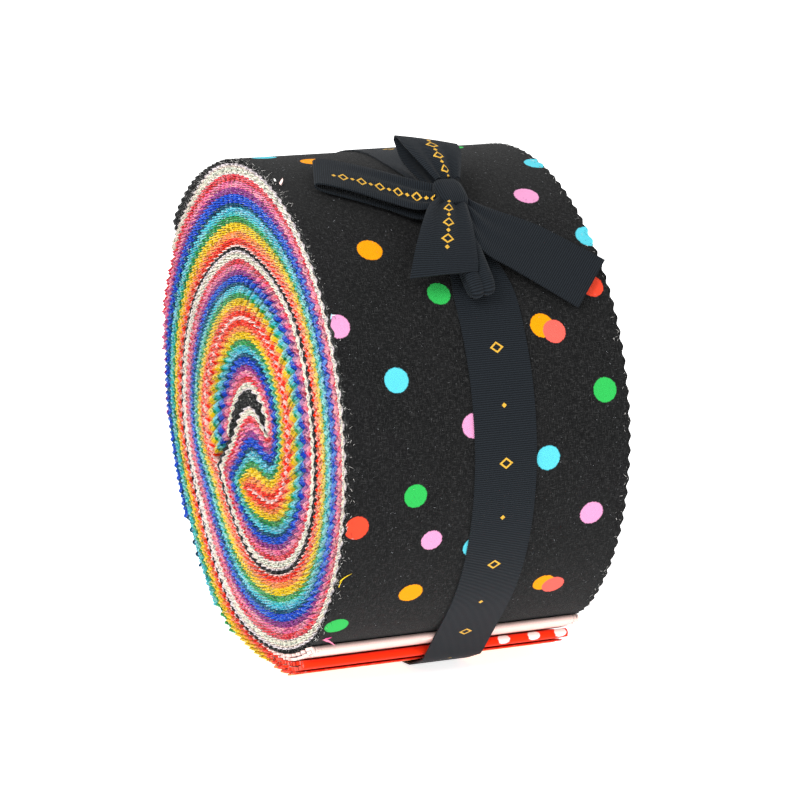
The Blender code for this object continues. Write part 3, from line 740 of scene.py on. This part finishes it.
def strips():
    """Every strip of the stack by its name, from the black side inwards."""
    random = np.random.default_rng(7)
    looks = {}
    for name, _, _, colour, pale, kind in RUNS:
        back = tuple(a + (b - a) * BACK_SHARE for a, b in zip(colour, pale))
        inside = cotton(f"cotton_{name}_back", back, colour, "plain", 0.2)
        looks[name] = (cotton(f"cotton_{name}", colour, back, kind, 0.25), inside)
    special = {"strip_black_1": dotted_black(), SPOTTED_STRIP: spotted_red()}
    made = {}
    for run, count, end, *_ in RUNS:
        printed, inside = looks[run]
        for i in range(count):
            name = f"strip_{run}_{i + 1}"
            tint = 1.0 + random.uniform(-TINT_SPREAD, TINT_SPREAD, 3)
            shown = (special.get(name, printed), printed, inside)
            stop = end + EARLIER_ENDS.get(name, 0.0)
            rows = 2 if made else 3
            made[name] = strip(name, run, len(made), stop, shown, tint, random, rows)
    return made


def outward(line):
    """Unit normals of a closed line in the x and z plane, pointing away from the roll's centre."""
    along = np.roll(line, -1, axis=0) - np.roll(line, 1, axis=0)
    normal = np.stack([along[:, 1], -along[:, 0]], axis=1)
    normal /= np.linalg.norm(normal, axis=1, keepdims=True)
    return normal * np.sign(np.sum(normal * line, axis=1, keepdims=True))


def roll_outline():
    """The closed line that a tight ribbon follows round the roll, in steps of equal length."""
    ended = share_ended(ANGLES)
    shown = (ANGLES > BAND_FROM) & (ANGLES < RUNS[-1][2])
    layer = ended[shown] * LAYERS
    points = on_layer(LINE_NUMBERS[shown].astype(float), layer)
    hull = points[convex_hull_2d(points.tolist())]
    hull = hull[np.argsort(np.arctan2(hull[:, 0], hull[:, 1]))]
    hull = np.concatenate([hull, hull[:1]])
    reach = distance_along(hull)
    even = np.linspace(0.0, reach[-1], BAND_LINES, endpoint=False)
    return np.stack([np.interp(even, reach, hull[:, k]) for k in (0, 1)], axis=1)


OUTLINE = roll_outline()
OUTLINE_NORMAL = outward(OUTLINE)


def over_roll(clock, y, height):
    """Points over the roll, from degrees clockwise from the top, y and height, with the ways outwards and
    clockwise."""
    turned = np.degrees(np.arctan2(OUTLINE[:, 0], OUTLINE[:, 1]))
    order = np.argsort(turned)
    spot = np.stack([np.interp(clock, turned[order], OUTLINE[order, k]) for k in (0, 1)], axis=1)
    away = np.stack([np.interp(clock, turned[order], OUTLINE_NORMAL[order, k]) for k in (0, 1)], axis=1)
    away /= np.linalg.norm(away, axis=1, keepdims=True)
    spot = spot + away * np.asarray(height)[:, None]
    points = np.stack([spot[:, 0], y, spot[:, 1]], axis=1)
    normals = np.stack([away[:, 0], np.zeros(len(away)), away[:, 1]], axis=1)
    return points, normals, np.cross(LENGTHWISE, normals)


def sheet_between(grid, thickness, closed_loop=False):
    """The outer and inner grid of a sheet whose middle is grid."""
    if closed_loop:
        along = np.roll(grid, -1, axis=0) - np.roll(grid, 1, axis=0)
    else:
        along = np.gradient(grid, axis=0)
    across = np.gradient(grid, axis=1)
    normal = np.cross(along, across)
    normal /= np.linalg.norm(normal, axis=2, keepdims=True) + 1e-12
    return grid + normal * thickness / 2, grid - normal * thickness / 2


def ribbon(name, grid, look, node, printed, closed_loop=False):
    """A piece of ribbon on a grid of points, with its millimetres along and across as UV. printed holds the
    first and last share of its length with gold marks, and how far the marks lie from its middle."""
    outside, inside = sheet_between(grid, RIBBON_THICKNESS, closed_loop)
    points, faces, _ = closed_sheet(outside, inside, closed_loop)
    along = distance_along(grid[:, grid.shape[1] // 2])
    across = np.linspace(-RIBBON_WIDTH / 2, RIBBON_WIDTH / 2, grid.shape[1])
    ring = np.concatenate([across, across[::-1]])
    uv = np.stack([np.repeat(along, len(ring)), np.tile(ring, len(along))], axis=-1)
    share = np.repeat(along / along[-1], len(ring))
    marks = np.zeros((len(points), 3))
    marks[:, 0] = (share >= printed[0]) & (share <= printed[1])
    marks[:, 1] = 0.5 + printed[2] / RIBBON_WIDTH
    made = new_piece(name, points, faces, [look], marks, None, uv)
    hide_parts(node)
    return made


def ribbon_lines(rows):
    """A ribbon's middle along rows of its places, with the ways outwards and across the ribbon, and the rows'
    other values there."""
    rows = np.array([row + (0.0,) * (RIBBON_ROW - len(row)) for row in rows], float)
    last = len(rows) - 1
    fine = smooth(np.arange(len(rows)), rows, np.linspace(0, last, RIBBON_STEPS * last + 1))
    clock, y, height, width, lie, pleat, bulge, slide = fine.T
    points, normals, clockwise = over_roll(clock, y, height)
    turn = np.radians(lie)[:, None]
    across = LENGTHWISE * np.cos(turn) + clockwise * np.sin(turn)
    return points, normals, across, (width, pleat, bulge, slide)


def ribbon_grid(rows):
    """Points of a ribbon as lines across it, with pleats and bulges."""
    points, normals, across, (width, pleat, bulge, slide) = ribbon_lines(rows)
    q = np.linspace(-0.5, 0.5, RIBBON_ACROSS)
    aside = width[:, None] * q + slide[:, None]
    lift = pleat[:, None] * np.cos(2 * np.pi * PLEATS * q) + bulge[:, None] * (1 - 4 * q * q)
    return points[:, None] + across[:, None] * aside[..., None] + normals[:, None] * lift[..., None]


def folded_grid(rows):
    """Points of a ribbon folded lengthwise into two soft rolls side by side, with a crease between them."""
    points, normals, across, (width, *_) = ribbon_lines(rows)
    along = np.gradient(points, axis=0)
    own = np.cross(across, along)
    own /= np.linalg.norm(own, axis=1, keepdims=True)
    own *= np.sign(np.sum(own[-1] * normals[-1]))
    q = np.linspace(-1.0, 1.0, RIBBON_ACROSS)
    turn = np.radians(180.0 - LOBE_TURN * np.abs(q))
    aside = width[:, None] / 4 * np.sign(q) * (1 + np.cos(turn))
    lift = width[:, None] / 4 * LOBE_HEIGHT * np.sin(turn)
    return points[:, None] + across[:, None] * aside[..., None] + own[:, None] * lift[..., None]


def band_grid():
    """The ribbon round the roll, gathered into pleats under the knot."""
    clock = np.degrees(np.arctan2(OUTLINE[:, 0], OUTLINE[:, 1]))
    middle, tight, loose, least = BAND_GATHER
    free = ramp(np.abs(clock - middle), tight, loose)
    width = least + (RIBBON_WIDTH - least) * free
    q = np.linspace(-0.5, 0.5, RIBBON_ACROSS)
    lift = PLEAT_DEPTH * (1 - free)[:, None] * (1 + np.cos(2 * np.pi * PLEATS * q))
    height = BAND_HEIGHT + lift
    y = BAND_MIDDLE_Y - BAND_SHIFT * (1 - free)[:, None] + width[:, None] * q
    x = OUTLINE[:, None, 0] + OUTLINE_NORMAL[:, None, 0] * height
    z = OUTLINE[:, None, 1] + OUTLINE_NORMAL[:, None, 1] * height
    return np.stack([x, y, z], axis=-1)


def grosgrain(name, step):
    """A near-black ribbed ribbon with a fine gold print of small diamonds and dots."""
    n = Nodes(name)
    cloth = n.cloth_place()
    printed = n.tint()
    along, across = n.part(cloth, 0), n.part(cloth, 1)
    rib = n.math("MULTIPLY_ADD", n.wave(along, RIB_PITCH), 0.5, 0.5)
    # The ribs' colour is painted shade: darker in the hollows between the ribs, paler on their tops
    base = n.mix(rib, solid((0.0018, 0.003, 0.0046)), solid((0.012, 0.0165, 0.022)))
    worn = n.ramp(n.noise(cloth, 2.5, 3.0, 0.7), 0.55, 0.85, 0.0, 0.2)
    base = n.mix(worn, base, solid((0.035, 0.04, 0.046)))
    from_diamond = n.math("PINGPONG", along, step / 2)
    shift = n.math("MULTIPLY_ADD", n.part(printed, 1), RIBBON_WIDTH, -RIBBON_WIDTH / 2)
    off = n.math("ABSOLUTE", n.math("SUBTRACT", across, shift))
    reach = [n.math("MULTIPLY", value, 1 / half) for value, half in zip((from_diamond, off), DIAMOND)]
    ring = n.math("ABSOLUTE", n.math("SUBTRACT", n.math("ADD", *reach), 1.0))
    from_dot = n.math("ABSOLUTE", n.math("SUBTRACT", from_diamond, step / 2))
    dot = n.math("ADD", from_dot, off)
    line, dot = n.ramp(ring, MARK_LINE + 0.08, MARK_LINE), n.ramp(dot, GOLD_DOT + 0.1, GOLD_DOT)
    mark = n.math("MAXIMUM", line, dot)
    mark = n.math("MULTIPLY", mark, n.ramp(n.noise(cloth, 4.0, 2.0), 0.28, 0.42))
    mark = n.math("MULTIPLY", mark, n.ramp(n.part(printed, 0), 0.4, 0.6))
    base = n.mix(mark, base, solid((0.78, 0.45, 0.05)))
    n.link(n.math("MULTIPLY", mark, 0.45), n.shader.inputs["Metallic"])
    return n.finish(base, rib, 0.8, 0.12, n.math("MULTIPLY_ADD", mark, -0.25, 0.78), 0.14, 0.04)


def rounded(value):
    """A sine or cosine made to run round a box with round corners."""
    return np.sign(value) * np.abs(value) ** ROUNDNESS


def knot_grid():
    """The ribbon wrapped over the knot, from under its near side to under its far side."""
    middle, normal, clockwise = over_roll(*np.array(KNOT_PLACE)[:, None])
    half = np.array(KNOT_SIZE) / 2
    t = np.radians(np.linspace(-KNOT_WRAP, KNOT_WRAP, KNOT_LINES))[:, None]
    q = np.linspace(-1.0, 1.0, RIBBON_ACROSS)[None, :]
    curl = np.radians(KNOT_CURL) * q
    shrink = (1 - KNOT_TUCK) + KNOT_TUCK * rounded(np.cos(curl)) + KNOT_WAVE * np.cos(3 * np.pi * q)
    side = half[1] * rounded(np.sin(t)) * shrink
    up = half[2] * rounded(np.cos(t)) * shrink
    down = half[0] * rounded(np.sin(curl)) * (1 + KNOT_WAVE * np.cos(2 * t))
    aside = LENGTHWISE * side[..., None] + clockwise[0] * down[..., None]
    return middle[0] + aside + normal[0] * up[..., None]


def bow():
    """The band round the roll and the bow tied on it."""
    look = grosgrain("ribbon_grosgrain", MARK_STEP)
    band = grosgrain("ribbon_grosgrain_band", BAND_MARK_STEP)
    ribbon("ribbon_round_roll", band_grid(), band, "ribbon_band", (0.0, 1.0, 0.0), True)
    ribbon("bow_knot", knot_grid(), look, "ribbon_knot", (0.0, 0.0, 0.0))
    for name, rows, node, printed in (
        ("bow_loop_left", LEFT_LOOP, "ribbon_loop_left", (0.571, 1.0, LEFT_MARKS)),
        ("bow_loop_upper", UPPER_LOOP, "ribbon_loop_upper", (0.5, 1.0, 0.0)),
        ("bow_loop_lower", LOWER_LOOP, "ribbon_loop_lower", (0.0, 0.0, 0.0)),
        ("bow_tail_down", DOWN_TAIL, "ribbon_tail_down", (0.0, 0.74, 0.0)),
        ("bow_tail_right", RIGHT_TAIL, "ribbon_tail_right", (0.0, 0.0, 0.0)),
    ):
        grid = folded_grid(rows) if rows is LOWER_LOOP else ribbon_grid(rows)
        ribbon(name, grid, look, node, printed)


def unit(vectors):
    return vectors / (np.linalg.norm(vectors, axis=-1, keepdims=True) + 1e-12)


def fibre_mesh(name, look, fibres, random):
    """Bent three-sided threads, from their roots in millimetres, ways, lengths, widths and colours."""
    roots, ways, lengths, widths, colours = fibres
    ways = unit(ways)
    count = len(roots)
    side = unit(np.cross(ways, random.normal(size=(count, 3))))
    other = np.cross(ways, side)
    t = np.linspace(0.0, 1.0, FIBRE_SECTIONS)[None, :, None]
    bend = random.normal(size=(count, 1, 2)) * 0.35
    reach = lengths[:, None, None]
    middle = roots[:, None] + reach * (
        ways[:, None] * t + side[:, None] * bend[..., :1] * t * t + other[:, None] * bend[..., 1:] * t * t
    )
    turn = 2 * np.pi * np.arange(3) / 3
    ring = side[:, None] * np.cos(turn)[None, :, None] + other[:, None] * np.sin(turn)[None, :, None]
    taper = np.concatenate([[0.0], np.linspace(1.0, 0.7, FIBRE_SECTIONS - 2), [0.0]])
    thick = taper[None, :, None, None] * widths[:, None, None, None] / 2
    points = middle[:, :, None] + ring[:, None] * thick
    base = np.arange(count)[:, None, None] * FIBRE_SECTIONS * 3
    section = np.arange(FIBRE_SECTIONS - 1)[None, :, None] * 3
    corner = np.arange(3)[None, None, :]
    after = (corner + 1) % 3
    base = base + section
    faces = np.stack([base + corner, base + after, base + 3 + after, base + 3 + corner], axis=-1)
    tint = np.repeat(colours, FIBRE_SECTIONS * 3, axis=0)
    made = new_piece(name, points.reshape(-1, 3), faces.reshape(-1, 4), [look], tint)


def fibre_look():
    """Dull cotton in the colour of each fibre."""
    n = Nodes("cotton_fibres")
    n.link(n.tint(), n.shader.inputs["Base Color"])
    set_inputs(n.shader, {"Roughness": 1.0, "Specular IOR Level": 0.05})
    return n.material


def strip_colours():
    """The print's and the back's colour of each layer."""
    prints = np.concatenate([[run[3]] * (2 * run[1]) for run in RUNS])
    backs = np.concatenate([[run[4]] * (2 * run[1]) for run in RUNS])
    return prints, backs


def on_cloth(where, layer, y):
    """Points on the layers, with unit vectors outwards across the stack and along it."""
    flat = on_layer(where, layer)
    row = np.clip(where.astype(int), 0, len(ANGLES) - 2)
    out = unit(BLACK_LINE[row] - CORAL_LINE[row])
    outwards = np.stack([out[:, 0], np.zeros(len(row)), out[:, 1]], axis=1)
    lengthwise = np.cross(outwards, LENGTHWISE)
    return np.stack([flat[:, 0], y, flat[:, 1]], axis=1), outwards, lengthwise


def edge_fibres(count, side, random):
    """Fibres that stand out of all the layers' cut edges at one end of the roll; side is -1 or 1."""
    prints, backs = strip_colours()
    pieces = np.linalg.norm(np.diff((BLACK_LINE + CORAL_LINE) / 2, axis=0), axis=1)
    chance = pieces * np.linalg.norm(BLACK_LINE - CORAL_LINE, axis=1)[:-1]
    where = random.choice(len(pieces), 3 * count, p=chance / chance.sum()) + random.uniform(size=3 * count)
    layer = random.uniform(0.3, LAYERS - 0.3, 3 * count)
    ended = np.interp(where, LINE_NUMBERS, share_ended(ANGLES)) * LAYERS
    kept = np.flatnonzero(layer > ended + 0.5)[:count]
    where, layer = where[kept], layer[kept]
    count = len(kept)
    y = side * (HALF_WIDTH - random.uniform(-0.1, 1.3, count))
    roots, outwards, lengthwise = on_cloth(where, layer, y)
    ways = outwards * random.normal(size=(count, 1)) * 0.6 + lengthwise * random.normal(size=(count, 1)) * 0.8
    ways[:, 1] += side * random.uniform(0.2, 0.9, count)
    pale = random.uniform(0.0, 1.0, (count, 1)) ** 0.7
    number = layer.astype(int)
    dyed = np.where(random.uniform(size=(count, 1)) < 0.4, prints[number], backs[number])
    colours = dyed * (1 - pale) + np.array(FLUFF_COLOUR) * pale
    lengths = random.uniform(0.4, 1.1, count)
    widths = random.uniform(0.6, 1.2, count) * FIBRE_WIDTH
    return roots, ways, lengths, widths, colours


def rim_fibres(count, random):
    """Pale and black fibres that fringe the outer turn's rims and lie over the black cloth beside them."""
    angle = random.uniform(*RIM_ANGLES, count)
    where = np.interp(angle, ANGLES, LINE_NUMBERS)
    side = np.where(random.uniform(size=count) < 0.6, -1.0, 1.0)
    layer = random.uniform(0.0, 1.0, count) ** 1.5 * 12.0
    layer = np.where((angle > 505.0) & (layer < 5.0), 5.0, layer)
    black = random.uniform(size=count) < 0.6
    over = (layer < 2.0) & (random.uniform(size=count) < 0.7)
    y = side * (HALF_WIDTH - random.uniform(0.0, 1.0, count) ** 2 * 1.6 - 0.1)
    roots, outwards, lengthwise = on_cloth(where, layer, y)
    roots += outwards * np.where(over, 0.12, 0.0)[:, None]
    ways = lengthwise * random.normal(size=(count, 1)) * 0.7
    rise = np.where(over, random.uniform(0.02, 0.35, count), random.uniform(-0.2, 0.9, count))
    ways += outwards * rise[:, None]
    ways[:, 1] += side * np.where(over, -random.uniform(0.1, 1.0, count), random.uniform(0.2, 1.0, count))
    white = np.array(FLUFF_COLOUR) * random.uniform(0.6, 1.0, (count, 1))
    dark = np.full((count, 3), 0.012)
    colours = np.where(black[:, None], dark, white)
    lengths = random.uniform(0.3, 1.1, count)
    widths = random.uniform(0.7, 1.4, count) * FIBRE_WIDTH
    return roots, ways, lengths, widths, colours


def lint(count, random):
    """Short fibres that lie on the black cloth, thicker near its rims."""
    angle = random.uniform(*LINT_ANGLES, count)
    y = HALF_WIDTH * np.sign(random.normal(size=count)) * random.uniform(0.0, 0.97, count) ** 0.5
    lengths = random.uniform(0.12, 0.5, count)
    widths = random.uniform(0.6, 1.2, count) * FIBRE_WIDTH
    colours = np.array([0.3, 0.31, 0.33]) * random.uniform(0.2, 1.3, (count, 1))
    lie = random.uniform(0.0, 2 * np.pi, count)
    roots, outwards, lengthwise = on_cloth(np.interp(angle, ANGLES, LINE_NUMBERS), np.zeros(count), y)
    ways = lengthwise * np.sin(lie)[:, None] + outwards * 0.04
    ways[:, 1] += np.cos(lie)
    return roots + outwards * 0.1, ways, lengths, widths, colours


def scraps():
    """Bits of coloured thread on the roll's near rim."""
    clock, y, lengths, widths, lie = np.array([row[:5] for row in SCRAPS], float).T
    x, z, angle = on_front(clock)
    _, outwards, lengthwise = on_cloth(np.interp(angle, ANGLES, LINE_NUMBERS), np.zeros(len(clock)), y)
    ways = lengthwise * np.sin(np.radians(lie))[:, None] + outwards * 0.08
    ways[:, 1] += np.cos(np.radians(lie))
    colours = np.array([row[5] for row in SCRAPS])
    return np.stack([x, y, z], axis=1) + outwards * 0.3, ways, lengths, widths, colours


def fluff():
    """Loose fibres and scraps: what pinked edges shed."""
    random = np.random.default_rng(11)
    look = fibre_look()
    fibre_mesh("fibres_near_end", look, edge_fibres(FIBRES["near"], -1, random), random)
    fibre_mesh("fibres_far_end", look, edge_fibres(FIBRES["far"], 1, random), random)
    fibre_mesh("fibres_rims", look, rim_fibres(FIBRES["rims"], random), random)
    fibre_mesh("lint", look, lint(FIBRES["lint"], random), random)
    fibre_mesh("scraps", look, scraps(), random)


def aim(made, spot, target):
    made.location = spot
    made.rotation_euler = (Vector(spot) - Vector(target)).to_track_quat("Z", "Y").to_euler()


def camera():
    data = bpy.data.cameras.new("camera")
    data.sensor_width = CAMERA_SENSOR
    data.lens = CAMERA_LENS
    made = in_scene("camera", data)
    aim(made, place(CAMERA_PLACE), place(CAMERA_TARGET))
    bpy.context.scene.camera = made


def stage():
    """A white floor, plain soft light from all round, and a large soft lamp over the camera's side."""
    mesh = bpy.data.meshes.new("floor")
    corners = [(x * FLOOR_REACH, y * FLOOR_REACH, 0) for x, y in ((-1, -1), (1, -1), (1, 1), (-1, 1))]
    mesh.from_pydata(corners, [], [(0, 1, 2, 3)])
    floor = in_scene("floor", mesh)
    paint = Nodes("floor_white")
    set_inputs(paint.shader, {
        "Base Color": (0.9, 0.9, 0.9, 1.0), "Roughness": 0.95, "Specular IOR Level": 0.0,
        "Emission Color": (1.0, 1.0, 1.0, 1.0), "Emission Strength": FLOOR_GLOW,
    })
    mesh.materials.append(paint.material)
    world = bpy.data.worlds.new("world")
    world.use_nodes = True
    set_inputs(world.node_tree.nodes["Background"], {"Color": (1.0, 1.0, 1.0, 1.0), "Strength": 1.0})
    bpy.context.scene.world = world
    bpy.context.scene.view_settings.view_transform = "Standard"
    lamp = bpy.data.lights.new("key", "AREA")
    lamp.shape = "SQUARE"
    lamp.size = LAMP_SIZE
    lamp.energy = LAMP_POWER
    aim(in_scene("key", lamp), LAMP_PLACE, LAMP_TARGET)


def main():
    camera()
    stage()
    made = strips()
    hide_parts("roll", "end_black")
    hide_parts("end_pale_pink")
    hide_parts("end_red")
    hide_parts("end_orange")
    bow()
    fluff()


main()
